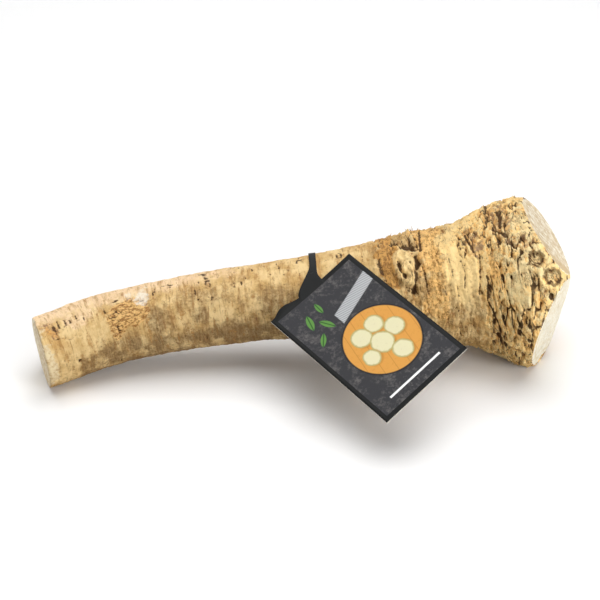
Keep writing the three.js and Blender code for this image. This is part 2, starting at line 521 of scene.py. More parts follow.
def pit(at, degrees, radius, stretch=1.0):
    """1 in the middle of a pit of that radius, 0 outside it."""
    dx, dy = away(at, degrees)
    return smooth(np.hypot(dx, dy / stretch) + 0.3 * ragged_fine, radius, radius * 0.35)


CORKY_SPOTS = [
    (13.5, 40, 2.1), (10, 22, 2.4), (91, 30, 1.8), (102, 2, 1.6),
    (60, 200, 2), (35, 250, 1.8), (112, 170, 2),
]
SMALL_HOLE = (14.5, 92)
for at, degrees, radius in CORKY_SPOTS:
    relief += 0.22 * ring(at, degrees, radius, 0.6, 1.3)
    slits = most(slits, 0.5 * ring(at, degrees, radius + 0.7, 0.35, 1.3))
hole = pit(*SMALL_HOLE, 1.3)
relief += 0.25 * ring(*SMALL_HOLE, 1.9, 0.5)

# %% The flaked patch
CRUMB_HEIGHT, SLIT_DEPTH, SMALL_HOLE_DEPTH = 0.45, 0.55, 1.6
crust = most(
    patch(43, 42, 21, 15, torn=0.3),
    0.7 * patch(36, 60, 9, 14, torn=0.5),
    0.8 * patch(70, 235, 16, 12, torn=0.5),
)
crumb_near, crumb_next = cells_on((4.2, 1.5), seed=7)
crumbs = smooth(crumb_next - crumb_near + 0.12 * ragged_fine, 0.0, 0.3)
dark_crumbs = patch(36, 58, 6, 18, torn=0.5)
# Slits, the hole and the gaps between crumbs are darkened by the finish: partly the skin's dark marks,
# partly painted shade.
hollow = most(slits, hole, crust * (1 - crumbs) * (0.5 + 0.4 * dark_crumbs))
relief += crust * (CRUMB_HEIGHT * crumbs - 0.2 + 0.25 * ragged_fine)
relief -= SLIT_DEPTH * slits + SMALL_HOLE_DEPTH * hole

# %% [markdown]
# ## Relief on the shoulder
#
# Between the tag and the crown sits a knob, the scar of a side root. It is an oval boss with two
# small openings, folded skin above it, and a deep crease on its crown side. Beyond it the skin lies
# in pale folds.

# %% The knob
KNOB_AT, KNOB_TURN = 169.3, 38
KNOB_LONG, KNOB_WIDE, KNOB_TILT = 4.9, 9.8, 0.12
KNOB_HEIGHT, RIM_HEIGHT, PIT_DEPTH, MOAT_DEPTH, KNOB_RIPPLE = 1.2, 0.7, 1.8, 0.5, 0.35
knob_x, knob_y = away(KNOB_AT, KNOB_TURN)
knob_distance = np.hypot((knob_x - KNOB_TILT * knob_y) / KNOB_LONG, knob_y / KNOB_WIDE)
knob_distance += 0.1 * (ragged_fine + ragged)
knob = smooth(knob_distance, 1.08, 0.8)
knob_rim = bell(knob_distance, 0.8, 0.17)
knob_moat = bell(knob_distance, 1.16, 0.14)
knob_pits = most(
    groove([(166.4, 30), (167.3, 36), (167.2, 41), (168.8, 47)], 2.6, torn=0.9),
    0.9 * groove([(167.9, 42), (169.0, 50)], 2.0, torn=0.7),
)
relief += KNOB_HEIGHT * knob + RIM_HEIGHT * knob_rim - PIT_DEPTH * knob_pits - MOAT_DEPTH * knob_moat
relief += KNOB_RIPPLE * knob * np.sin(9 * knob_distance + 2 * ragged)
# Painted shade: the knob's moat and pits are darkened by the finish.
hollow = most(hollow, 0.4 * knob_moat * smooth(ragged, -0.2, 0.4), knob_pits)

# %% Creases and folds round the knob
CREASES = [
    ([(174.8, 24), (175.2, 34), (174, 45), (172.2, 64)], 3.8, 2.8),
    ([(180, -24), (178.5, 0), (177.4, 20)], 2.2, 1.1),
    ([(176.6, 34), (177.6, 46), (178, 60), (178.6, 72)], 1.8, 0.8),
    ([(165.8, 1), (168.4, 6), (171.5, 10), (174.2, 15)], 6.6, 2.2),
    ([(166.5, -12), (167.8, 6)], 1.3, 0.7),
    ([(170, -18), (170.6, 8)], 1.3, 0.6),
    ([(173.3, -20), (173.6, 10)], 1.4, 0.8),
    ([(176, -28), (176.4, 16)], 1.7, 1.1),
    ([(161, -24), (160, 0), (158.8, 24), (160, 42)], 2, 0.8),
    ([(181, 33), (183.5, 28), (185, 24)], 1, 0.4),
    ([(188.3, 22), (189.3, 38), (190, 56)], 1.6, 0.5),
    ([(194.4, 38), (195.6, 50), (194.5, 64)], 1.8, 0.7),
    ([(203.6, 36), (202.6, 52), (201, 70)], 1.8, 0.8),
    ([(185.6, 60), (186, 70)], 1.5, 0.6),
    ([(191.2, 62), (191.6, 71)], 1.5, 0.6),
    ([(186.4, 90), (186.6, 104)], 1.3, 0.5),
    ([(196.8, 100), (197, 118)], 1.3, 0.5),
]
RIDGE = [(174.7, -44), (174.9, 12)]
FOLD_STEP, FOLD_HEIGHT = 5.2, 0.35
# Each crease is cut into the relief, and the finish darkens it too: painted shade.
for path, width, depth in CREASES:
    line = groove(path, width)
    relief -= depth * line
    hollow = most(hollow, line * min(1, 0.35 + 0.5 * depth))
relief += groove(RIDGE, 2.6)
folds = patch(194, 46, 26, 34, torn=0.3)
relief += folds * FOLD_HEIGHT * np.sin(2 * pi * (along - 189 + 0.6 * ragged) / FOLD_STEP)

# %% [markdown]
# ## Relief on the crown
#
# The crown is a bulb of old leaf scars. Shaggy ridges run round it, split by dark crevices. Noise
# near zero makes thin meandering lines, and noise stretched round the root makes those lines run
# round too. A few eyes, holes and a smooth scar are placed one by one where they show, and more are
# scattered over the hidden side.

# %% Crevices and shag
LEDGE_STEP, LEDGE_WARP = 5.2, 2.6
ledge = np.mod((along + LEDGE_WARP * noise_on((9, 12), seed=10) + 0.5 * ragged_fine) / LEDGE_STEP, 1)
ledge_drop = smooth(ledge, 0.72, 0.97) * smooth(ledge, 1.0, 0.985)
ledges = 0.5 + 0.5 * smooth(noise_on(12, seed=15), -0.3, 0.3)
crevice_wide = smooth(np.abs(noise_on((5.5, 18), octaves=3, seed=11)), 0.14, 0)
crevice_fine = smooth(np.abs(noise_on((2.4, 12), octaves=2, seed=12)), 0.13, 0)
crevice_fine *= smooth(ragged, -0.3, 0.2)
shag = noise_on((1.3, 5), octaves=2, seed=13)
grains = noise_on(1.5, octaves=2, seed=14)

# %% Smooth scars, and the shag between them
SMOOTH_SCARS = [
    (220, 66, 10, 17, -12), (212, 42, 6, 6, 0), (214, 150, 10, 16, 0), (224, 255, 13, 14, 0),
]
scar = np.zeros(len(along))
for at, degrees, long, wide, tilt in SMOOTH_SCARS:
    scar = most(scar, patch(at, degrees, long, wide, tilt=tilt))
shaggy = rough * (1 - 0.75 * scar)
crown_lines = most(0.9 * crevice_wide, 0.75 * crevice_fine, 0.8 * ledge_drop * ledges)
relief += shaggy * (ledge * ledges + 0.55 * (shag + grains) - 1.7 * crevice_wide - 0.9 * crevice_fine)
relief -= 0.3 * scar

# The folds of the shoulder are shaggy too, apart from a calm patch in their middle.
calm = patch(196, 46, 19, 30, torn=0.4)
folded = smooth(along, 176, 186) * (1 - rough) + smooth(along, 152, 160) * smooth(along, 182, 176)
folded *= 1 - 0.6 * calm
relief += folded * (0.5 * streaks + 0.6 * shag + 0.5 * grains - 0.8 * crevice_fine)
relief += knob * (0.3 * shag + 0.25 * grains)
# Painted shade: the crown's crevices and ledge drops, and the shoulder's fine crevices, are darkened by
# the finish.
hollow = most(hollow, shaggy * crown_lines, 0.7 * folded * crevice_fine)

# %% Crevices placed one by one
CROWN_CREVICES = [
    ([(205.4, 56), (205.6, 66), (204.6, 76)], 2.4, 1.2),
    ([(204.6, 76), (208, 88), (211, 100), (211.5, 110)], 2.2, 1.2),
    ([(216, 68), (217, 76), (219.4, 82), (222, 90)], 2.2, 1.5),
    ([(214, 56), (214.6, 62)], 1.8, 1.4),
    ([(227, 86), (228.3, 93), (231.5, 90)], 2, 1.4),
    ([(220.5, 28), (220, 44)], 1.4, 0.8),
    ([(215.7, -10), (217, 5), (216, 16)], 3, 1.3),
    ([(212, 17), (216, 22), (219, 30)], 2.4, 1.2),
    ([(199, 10), (200, 24), (201, 34)], 2, 0.9),
    ([(220, 118), (220.4, 126)], 2.4, 1),
    ([(211, 104), (212, 112)], 2.6, 1),
]
# Each listed crevice is darkened by the finish as well: painted shade.
for path, width, depth in CROWN_CREVICES:
    line = groove(path, width)
    relief -= depth * line
    hollow = most(hollow, line)

# %% Holes
HOLES = [
    (221.9, 96, 2.2, 1.3), (218.8, 58, 1, 1.4), (236.6, 70, 1.5, 1.6), (219.4, 81, 1, 1),
    (223.7, 83, 1, 1), (227.2, 90, 1.6, 1.2), (210, 106, 1.8, 1.6), (214.6, 114, 1.6, 1.8),
    (213, 88, 1.2, 2), (208, 94, 1.2, 2.4),
]
BORE_DEPTH = 1.8
# Each hole is darkened by the finish as well: painted shade.
for at, degrees, radius, stretch in HOLES:
    bored = pit(at, degrees, radius, stretch)
    relief -= BORE_DEPTH * bored
    hollow = most(hollow, bored)

# %% Eyes
EYES = [
    (230.5, 46, 4), (237, 57, 4), (233, 120, 3.4), (232, 200, 4.2),
    (228, 300, 3.6), (238, 330, 3), (241, 20, 3),
]
EYE_RIM, EYE_DEPTH = 0.9, 1.2
eyes = np.zeros(len(along))
eye_rims = np.zeros(len(along))
for at, degrees, radius in EYES:
    near = pit(at, degrees, radius * 1.9)
    middle = pit(at, degrees, radius)
    relief = relief * (1 - 0.7 * near) - EYE_DEPTH * middle
    relief += EYE_RIM * ring(at, degrees, radius * 1.35, 1.1)
    eyes = most(eyes, ring(at, degrees, radius * 0.7, 1.3, 1.1, 0.9), 0.6 * middle)
    cracked = ring(at, degrees, radius * 0.75, 0.6, 1.1, 1.1) * smooth(ragged_fine + ragged, -0.5, 0.1)
    split = middle * smooth(np.abs(ragged_fine - 0.1), 0.16, 0.05)
    loose = ring(at, degrees, radius * 1.8, 0.5, 1.2, 0.8) * smooth(ragged, 0, 0.4)
    # The cracks and splits in and round an eye are darkened by the finish: painted shade.
    hollow = most(hollow * (1 - 0.8 * near), 0.9 * cracked, split, 0.9 * loose)
    eye_rims = most(eye_rims, ring(at, degrees, radius * 1.35, 1.2))

# %% [markdown]
# ## Fitting the relief to its neighbours
#
# Three things hold the bark in: the strap round it, the card that lies against it, and the surface
# below. Relief is flattened under the strap, pushed back behind the card, and stopped at the
# surface. Then the knife cuts are made: a vertex past a cut's plane slides towards the heart of the
# root until it lies on the plane.

# %% No relief past the cuts
# Each cut: a point on its plane, the way it faces, where the root's heart lies behind it, its stain.
CUTS = [
    ((2.3, -29, 16.6), (-0.935, -0.34, -0.08), 24, 0.42),
    ((234.6, 2, 64), (0.76, 0.026, 0.65), 208, 0.65),
    ((248.5, -1.5, 25), (0.852, -0.468, -0.233), 214, 0.05),
]


def beyond(point, faces, somewhere):
    """Millimetres from a cut's plane, on the side that is cut off."""
    return (somewhere + PART_ORIGIN - point) @ unit(np.array(faces))


beyond_cut = np.max([beyond(point, faces, bare) for point, faces, *_ in CUTS], axis=0)
relief *= smooth(beyond_cut, 2.5, 0.5) * (0.45 + 0.55 * smooth(beyond_cut, 0, -4))

# %% Flatten under the strap
STRAP_X = 129.5
LOWEST_UNDER_STRAP, HIGHEST_UNDER_STRAP = -0.4, 0.1
under_strap = smooth(np.abs(along - STRAP_X), 4.5, 2.5)
relief -= under_strap * (relief - np.clip(relief, LOWEST_UNDER_STRAP, HIGHEST_UNDER_STRAP))
places = bark_places(walk, turn, relief)

# %% Push back behind the card
CARD_EDGE = np.array([126.7, -24.1, 48.3]) - PART_ORIGIN
CARD_FACES = unit(np.array([-0.166, -0.456, 0.875]))
CARD_HANGS = unit(np.array([0.666, -0.706, -0.242]))
CARD_RIGHT = unit(np.cross(CARD_FACES, CARD_HANGS))
CARD_DOWN = np.cross(CARD_RIGHT, CARD_FACES)
CARD_WIDTH, CARD_LENGTH = 49, 75
CARD_CLEARANCE = 1.7
from_edge = places - CARD_EDGE
card_across, card_out = from_edge @ CARD_RIGHT, from_edge @ CARD_FACES
behind_card = smooth(from_edge @ CARD_DOWN, -5, -3)
behind_card *= smooth(np.abs(card_across), CARD_WIDTH / 2 + 3, CARD_WIDTH / 2 + 1)
too_far = np.maximum(card_out + CARD_CLEARANCE, 0) * behind_card * smooth(card_out, 6, 3)
places = places - too_far[:, None] * CARD_FACES
print("the bark is pushed back behind the card by up to", round(too_far.max(), 2), "mm")

# %% Knife cuts
STAIN_FADES = (16, -6)  # y where a stain is at its faintest and at its darkest
is_cut = np.zeros(len(along), bool)
stained = np.zeros(len(along))
for point, faces, heart_x, stain in CUTS:
    heart = spine_table[np.argmin(np.abs(spine_table[:, 0] - heart_x)), :3] - PART_ORIGIN
    cut_off = beyond(point, faces, places)
    inside = beyond(point, faces, heart)
    past = cut_off > 0
    share_kept = inside / (inside - cut_off[past])
    places[past] = heart + (places[past] - heart) * share_kept[:, None]
    is_cut |= past
    stained[past] = stain * (1 + 0.7 * smooth(places[past, 1], *STAIN_FADES))


# %% How deep below the skin a cut face lies
LAST_WIDE_RING = 0.86  # t of the last ring before the crown's cap closes


def depth_below_skin(cut_places):
    """Millimetres from points inside the root out to its skin."""
    t = np.linspace(0, LAST_WIDE_RING, 800)
    ring_centres = spine_at(t)[:, :3] - PART_ORIGIN
    nearest = [np.argmin(((ring_centres - place) ** 2).sum(axis=1)) for place in cut_places]
    middle, radius, top, side, _ = ring_frame(t[nearest])
    offset = cut_places + PART_ORIGIN - middle
    angle = np.arctan2((offset * side).sum(axis=1), (offset * top).sum(axis=1))
    return skin_radius(middle[:, 0], radius, angle) - np.linalg.norm(offset, axis=1)


depth = np.zeros(len(along))
depth[is_cut] = np.maximum(depth_below_skin(places[is_cut]), 0.05)
places[:, 2] = np.maximum(places[:, 2], 0)
print("cut vertices:", is_cut.sum(), "deepest", round(depth.max(), 1), "mm below the skin")

# %% [markdown]
# ## Masks for the finish
#
# The finish needs to know where the skin changes: where it is mottled, corky, pale, green, scraped
# or cracked, and how stained a cut face is. Some masks also carry painted light: a highlight along
# the top, shade on the underside, and light and shade by the height of the relief. These areas
# are painted as masks, one number to a vertex, and the shader adds the fine edge and grain.

# %% Masks of the thin part
# Painted shade: the brown mottling is laid mostly on the underside, so that it also stands for the
# shade there.
shaded_underside = smooth(np.abs(turn), radians(48), radians(104))
mottle_and_shade = 0.62 + 0.38 * smooth(noise_on((9, 7), seed=21), -0.4, 0.4)
mottle_and_shade *= shaded_underside * smooth(along, -25, 35)
mottle_and_shade = most(
    mottle_and_shade,
    0.75 * patch(56, 62, 13, 20, edge=0.6),
    0.75 * patch(76, 66, 9, 12, edge=0.6),
    0.7 * patch(110, 62, 30, 20, edge=0.7),
    0.55 * patch(80, 44, 50, 16, edge=0.9),
)
mottle_and_shade *= 1 - 0.9 * smooth(along, 168, 186)
# Painted highlight: a pale pink band along the top of the thin part, partly the skin's own blush.
blush_and_top_highlight = smooth(np.abs(wrapped(turn - radians(-12))), 0.95, 0.1) * smooth(along, 130, 60)
blush_and_top_highlight = most(blush_and_top_highlight, 0.8 * patch(19, 18, 16, 14))
scraped = most(
    0.75 * patch(50.6, 18, 7, 10, edge=0.9, torn=0.8),
    0.6 * patch(43.5, 9, 5, 7, edge=0.9, torn=0.8),
)
peeled = 0.75 * patch(1, 78, 7, 32, edge=0.8, torn=0.6)

# %% Masks of the shoulder and the crown
orange = most(patch(162, 4, 8, 44, torn=0.7), 0.8 * patch(162.5, 42, 7, 26, torn=0.7))
golden = most(
    patch(182.5, 22, 13, 44, edge=0.5, torn=0.7),
    0.9 * patch(183, -8, 17, 34, torn=0.7),
    0.8 * patch(182, 78, 12, 22, torn=0.7),
    0.9 * patch(210, 50, 9, 18),
    0.8 * patch(168, 200, 22, 40),
)
pale = most(
    patch(190.5, 18, 11, 22),
    patch(195.5, 46, 20, 30),
    0.8 * patch(199, -14, 12, 20),
    0.8 * patch(219, 22, 5, 34, tilt=-10),
    eye_rims,
    patch(245, 60, 9, 40),
)
lichen = 0.9 * patch(226, 40, 22, 62, edge=0.6, torn=0.9)
out_of_sight = np.abs(turn) > 1.7
dark = most(
    patch(203, 18, 9, 20, torn=0.8),
    patch(216, 6, 9, 30, torn=0.8),
    0.8 * patch(211, 108, 8, 14, torn=0.5),
    0.7 * patch(225, 32, 10, 10, torn=0.5),
    0.7 * patch(7.5, 30, 5, 9, torn=0.6),
    0.8 * rough * smooth(noise_on((7, 12), seed=22), 0.25, 0.6) * out_of_sight,
)
craggy = most(rough, folded) * (1 - 0.55 * calm)
# Painted light and shade by height: the mask below follows the noises that make the relief, so that the
# finish paints ridges paler and dips darker.
crags = np.clip(0.8 * shag + 0.8 * grains + 0.6 * (ledge - 0.5), -1, 1)
relief_light_and_shade = 0.5 + 0.5 * (craggy * crags + (1 - craggy) * streaks)
# Some masks hold painted light as well as the skin's own colour: shade in the hollows, light and shade
# by the relief's height, a highlight along the top and shade on the underside.
masks = dict(
    rough=rough, hollow=hollow, crust=crust, mottle_and_shade=mottle_and_shade, orange=orange, golden=golden,
    pale=pale, dark=dark, green=scar, lichen=lichen, blush_and_top_highlight=blush_and_top_highlight, scraped=scraped, peeled=peeled,
    relief_light_and_shade=relief_light_and_shade, craggy=craggy, eyes=eyes, knob=knob, depth=depth, stained=stained,
)
print("masks:", {name: round(float(mask.mean()), 3) for name, mask in masks.items()})


# %% Make the root
def mesh_data(name, mesh):
    """Turns a bmesh into smooth mesh data."""
    data = bpy.data.meshes.new(name)
    mesh.to_mesh(data)
    data.shade_smooth()
    return data


def make_piece(name, mesh):
    """A piece at the origin that rides on the root's body."""
    piece = add_object(name, mesh_data(name, mesh))
    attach(piece, "root")
    return piece


move_to(bark, places)
root_skin = make_piece("root_skin", bark)
attributes = root_skin.data.attributes
for name, mask in masks.items():
    attributes.new(name, "FLOAT", "POINT").data.foreach_set("value", mask.astype(np.float32))
grain = attributes.new("grain", "FLOAT_VECTOR", "POINT")
grain.data.foreach_set("vector", straight.astype(np.float32).ravel())
for leftover in ("walk", "turn"):
    attributes.remove(attributes[leftover])
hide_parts("horseradish_root")
print("root_skin:", len(root_skin.data.vertices), "vertices")

# %% [markdown]
# ## The finish of the bark
#
# Horseradish bark is tan and dry, with a fine grain that runs round the root. One picture wrapped
# round it could show that, but it would smear on the crown. Here the finish starts with the tan
# skin, and lays each mask's colour over it. Noise shifts the masks' edges, so that they are crisp
# and torn and not soft. The colour holds painted light too: the pale band along the top is partly a
# painted highlight, the brown mottling of the underside is partly painted shade, and the relief's
# ridges are painted paler and its dips darker. Near the end, fine cracks, grooves and holes are
# darkened: partly the skin's own dark marks, partly painted shade. Last comes the flesh of the cut
# faces: pale, with a brown rind at its rim, and a stain where it has dried.

# %% Colours of the bark
SKIN_LIGHT = colour("e9cc94")
SKIN_DEEP = colour("d0aa6c")
SKIN_STREAK_AND_SHADE = colour("ba8c50")
SKIN_DARK = colour("845c32")
BLUSH_AND_HIGHLIGHT = colour("fcddb8")
MOTTLE_AND_SHADE_BROWN = colour("90734d")
MOTTLE_AND_SHADE_DARK = colour("60482a")
ORANGE = colour("d49e52")
ORANGE_DEEP = colour("90602e")
GOLD = colour("fac87a")
GOLD_DEEP = colour("b07e3e")
PALE = colour("ffe09e")
PALE_TAN_AND_RIDGE_HIGHLIGHT = colour("ffe0a0")
CROWN_TAN = colour("ffd68c")
CROWN_BROWN_AND_DIP_SHADE = colour("e2ac62")
PURPLE_BROWN = colour("7c5c50")
GREEN_SCAR = colour("eed8a0")
GREEN_DEEP = colour("bea26a")
LICHEN = colour("f0dca8")
EYE_BROWN = colour("705c36")
CRACK_AND_SHADE = colour("7a5024")
CRUST_LIGHT = colour("ecc07a")
CRUST_DARK_AND_SHADE = colour("9e6e3a")
WHITE_SCRAPE = colour("f6ecda")
GROOVE_MARK_AND_SHADE = colour("36200f")
FLESH = colour("fcf7e8")
FLESH_DEEP = colour("e6d6b0")
STAIN = colour("c6aa7c")


# %% Make the bark's finish
# How grain is stretched: a small share makes it long that way.
ROUND_GRAIN = (1, 0.16, 0.16)
CRACK_GRAIN = (1, 0.35, 0.35)
FLAKE_GRAIN = (0.3, 1, 1)
BUMP_STRENGTH, BUMP_HEIGHT = 0.85, 0.9 * MM


def make_bark_finish():
    material, board, shader = new_finish("horseradish_bark", Specular_IOR_Level=0.3)
    grain = board.attribute("grain", "Vector")
    mask = {name: board.attribute(name) for name in masks}
    rough, relief_light_and_shade, craggy, depth = (mask[name] for name in ("rough", "relief_light_and_shade", "craggy", "depth"))

    def uneven(size, detail=4, roughness=0.65, stretch=None):
        """Noise from -0.5 to 0.5 on the straightened root, its size in millimetres."""
        place = board.vector("MULTIPLY", grain, stretch) if stretch else grain
        return board.noise(place, size, detail, roughness) - 0.5

    def layered(tone, *layers):
        """Lays each layer's paint over a tone where the layer's amount is high."""
        for amount, low, high, paint, strength in layers:
            tone = board.blend(board.ramp(amount, low, high) * strength, tone, paint)
        return tone

    fibres = uneven(0.8, stretch=ROUND_GRAIN)
    bands = uneven(2.4, detail=3, roughness=0.6, stretch=ROUND_GRAIN)
    blotch = uneven(9, detail=5)
    speck = uneven(1.2, roughness=0.7)
    fleck = uneven(3.2)
    flakes = uneven(0.9, detail=3, roughness=0.6, stretch=FLAKE_GRAIN)
    # Fine cracks, which the finish darkens: partly dark skin, partly painted shade.
    cracks = board.ramp(abs(uneven(2.4, stretch=CRACK_GRAIN)), 0.035, 0.005) * (0.2 + craggy * 0.8)
    cracks = cracks * board.ramp(blotch + speck * 0.6, -0.15, 0.05)
    # Where the mottling falls, which on the underside is partly painted shade.
    mottle_and_shade_amount = mask["mottle_and_shade"] + fleck * 0.8 + blotch * 1.2 + bands * 0.8 + speck * 0.8
    ring_below_rind = board.ramp(depth, 2, 2.8) * board.ramp(depth, 3.8, 3)
    rind = board.ramp(depth, 1.7, 0.7) * board.ramp(bands + speck, -0.1, 0.1) * (1 - rough * 0.7)

    # The mottling's brown, which on the underside also stands for shade.
    shaded_mottle = layered(MOTTLE_AND_SHADE_BROWN, (fibres + speck * 0.6, -0.14, 0.18, MOTTLE_AND_SHADE_DARK, 1))
    gold = layered(GOLD, (speck + fibres * 0.7, -0.04, 0.18, GOLD_DEEP, 1))
    rust = layered(ORANGE, (speck + fibres * 0.8, -0.06, 0.16, ORANGE_DEEP, 1))
    purple = layered(PURPLE_BROWN, (fleck, -0.1, 0.1, CROWN_BROWN_AND_DIP_SHADE, 1))
    green = layered(GREEN_SCAR, (fleck + speck * 0.5, -0.08, 0.2, GREEN_DEEP, 0.8))
    crumb = layered(CRUST_LIGHT, (flakes + speck * 0.8, -0.08, 0.1, CRUST_DARK_AND_SHADE, 1))
    peel = layered(FLESH_DEEP, (fleck + speck * 0.7, -0.1, 0.2, SKIN_STREAK_AND_SHADE, 0.5))
    # Painted highlight and shade: the crown is paler on its ridges and browner in its dips.
    crown = layered(
        CROWN_TAN,
        (relief_light_and_shade + speck * 1.2, 0.45, 0.75, PALE_TAN_AND_RIDGE_HIGHLIGHT, 1),
        (1 - relief_light_and_shade - speck * 1.5, 0.5, 0.9, CROWN_BROWN_AND_DIP_SHADE, 0.9),
    )
    tone = layered(
        SKIN_LIGHT,
        (blotch, -0.15, 0.15, SKIN_DEEP, 1),
        # Pale pink along the top: partly the skin's blush, partly painted highlight.
        (mask["blush_and_top_highlight"] + fleck * 1.4 + bands, 0.2, 1.1, BLUSH_AND_HIGHLIGHT, 0.7),
        (bands + blotch * 0.5, -0.04, 0.24, SKIN_STREAK_AND_SHADE, 0.6),
        (fibres + bands * 0.5, 0.03, 0.26, SKIN_DARK, 0.6),
        (speck + fleck * 0.6, 0.12, 0.3, SKIN_DARK, 0.55),
        # Painted shade in the relief's dips.
        (1 - relief_light_and_shade + speck * 0.8, 0.55, 0.95, SKIN_STREAK_AND_SHADE, 0.6),
        # Brown mottling, mostly on the underside: partly the skin's own, partly painted shade.
        (mottle_and_shade_amount, 0.2, 1, shaded_mottle, 0.85),
        (rough + fleck * 0.9, 0.2, 0.7, crown, 1),
        (mask["golden"] + fleck * 1.4 + speck * 0.5, 0.3, 0.9, gold, 0.8),
        (mask["orange"] + fleck * 1.3, 0.3, 0.8, rust, 0.9),
        (mask["pale"] + fleck * 1.6 + bands, 0.25, 0.9, PALE, 0.7),
        (mask["lichen"] + fleck * 1.6 + speck, 0.3, 1, LICHEN, 0.75),
        # Purple-brown patches, drawn more strongly in the relief's dips: partly painted shade.
        (mask["dark"] + speck * 2.2 + fleck - (relief_light_and_shade - 0.5) * 1.6, 0.4, 0.9, purple, 0.75),
        (mask["green"] + speck * 1.4 + fleck * 1.6, 0.35, 0.95, green, 0.6),
        (mask["knob"] + speck * 0.8, 0.3, 0.9, PALE_TAN_AND_RIDGE_HIGHLIGHT, 0.6),
        (mask["eyes"] + speck * 1.5, 0.4, 0.8, EYE_BROWN, 0.8),
        (mask["crust"] + speck, 0.35, 0.7, crumb, 0.9),
        (mask["peeled"] + fleck * 1.2, 0.3, 0.65, peel, 0.9),
        (mask["scraped"] + speck * 0.9 + fleck * 0.7, 0.35, 0.8, WHITE_SCRAPE, 0.9),
        (fibres + bands * 0.6 - craggy * 0.1, 0.04, 0.28, SKIN_STREAK_AND_SHADE, 0.45),
        # Painted shade in the relief's dips.
        (1 - relief_light_and_shade + speck, 0.6, 1, CRUST_DARK_AND_SHADE, 0.35),
        (speck + fleck * 0.8 - craggy * 0.07, 0.08, 0.32, SKIN_DARK, 0.5),
        # Painted shade in the fine cracks, together with their own dark skin.
        (cracks, 0.1, 0.9, CRACK_AND_SHADE, 0.5),
        # Painted shade in slits, creases, crevices and holes, together with the skin's own dark marks.
        (mask["hollow"] + speck * 0.8, 0.15, 0.9, CRUST_DARK_AND_SHADE, 0.6),
        (mask["hollow"] + speck * 1.1, 0.42, 0.68, GROOVE_MARK_AND_SHADE, 0.85),
    )
    flesh = layered(
        FLESH,
        (fleck + speck, -0.15, 0.25, FLESH_DEEP, 0.8),
        (ring_below_rind, 0, 1, FLESH_DEEP, 0.6),
        (rind, 0, 1, SKIN_DARK, 0.75),
        (mask["stained"] + fleck * 1.5 + speck * 0.8, 0.2, 1, STAIN, 0.85),
    )
    past_rim = board.ramp(depth + fleck * 0.9 + speck * 0.6, 0.05, 0.4) * board.ramp(depth, 0, 0.3)

    height = fibres * 0.35 + speck * 0.45 + craggy * (fleck + speck + 1) * 0.7 - cracks * 0.5
    bump = {"Strength": BUMP_STRENGTH, "Distance": BUMP_HEIGHT, "Height": height}
    finish = {
        "Base Color": board.blend(past_rim, tone, flesh),
        "Roughness": 0.77 + speck * 0.3,
        "Normal": board.node("Bump", inputs=bump),
    }
    board.feed(shader, finish)
    return material


root_skin.data.materials.append(make_bark_finish())

# %% [markdown]
# ## Dry rootlets
#
# A few dry side rootlets are left, most of them on the crown and round the knob. Each is a thin
# cone whose foot is sunk in the bark. They break the clean outline, which a real root never has.

# %% Make the rootlets
ROOTLETS, ROOTLETS_ON_CROWN = 60, 40
CROWN_SPAN, KNOB_SPAN = (180, 230), (158, 180)
ROOTLET_TURNS = np.radians([-30, -30, -45, -20, 30, 60, 100, 200, 300])
ROOTLET_SUNK = 0.5
CLEAR_OF_CARD, CLEAR_OF_CARD_SIDES, CLEAR_OF_FLOOR = 8, 30, 6


def off_skin(x, angle, height):
    """A place at that height off the bare skin, and the ways out and ahead there."""
    middle, radius, top, side, ahead = (value[0] for value in ring_frame(np.array([t_at(x)])))
    out = top * cos(angle) + side * sin(angle)
    return middle - PART_ORIGIN + out * (skin_radius(middle[0], radius, angle) + height), out, ahead


picks = np.random.RandomState(12)
rootlets = bmesh.new()
for number in range(ROOTLETS):
    at = picks.uniform(*(CROWN_SPAN if number < ROOTLETS_ON_CROWN else KNOB_SPAN))
    angle = wrapped(picks.choice(ROOTLET_TURNS) + picks.normal(0, 0.25))
    foot, out, ahead = off_skin(at, angle, -ROOTLET_SUNK)
    sideways = np.cross(out, ahead)
    points = Vector(out + ahead * picks.uniform(-0.7, 0.9) + sideways * picks.uniform(-0.6, 0.6))
    long, wide = picks.uniform(1.4, 2.8) * MM, picks.uniform(0.14, 0.28) * MM
    turned = points.to_track_quat("Z", "Y").to_matrix().to_4x4()
    place = Matrix.Translation(Vector(foot) * MM) @ turned @ Matrix.Translation((0, 0, long / 2))
    card_out, card_across = np.abs([CARD_FACES, CARD_RIGHT] @ (foot - CARD_EDGE))
    near_card = card_out < CLEAR_OF_CARD and card_across < CLEAR_OF_CARD_SIDES
    if not near_card and foot[2] >= CLEAR_OF_FLOOR:
        size = dict(segments=6, radius1=wide, radius2=0.3 * wide, depth=long)
        bmesh.ops.create_cone(rootlets, cap_ends=True, matrix=place, **size)
root_fibres = make_piece("root_fibres", rootlets)
dry, *_ = new_finish("dry_rootlet", Roughness=0.9, Base_Color=colour("aa804e"))
root_fibres.data.materials.append(dry)
print("rootlets:", len(root_fibres.data.polygons), "faces")

# %% [markdown]
# ## The loop tag
#
# The tag is one die-cut sheet: a card, a neck that narrows with hollow sides, and a strap that goes
# round the root. The card is a grid. From the middle of its upper side, row after row of faces is
# added along the neck and round the root, as the sheet itself runs. The sheet gets its thickness
# last, from a Solidify modifier.

# %% Places on the card and on the strap
CARD_THICKNESS = 0.45
CARD_DIP, CARD_DIP_LENGTH = 1, 14
STRAP_WIDTH, STRAP_GAP = 3.3, 0.2
NECK_WIDTH, NECK_LENGTH = 14, 11
NECK_STARTS, SMALL_TURN = radians(16), 0.05


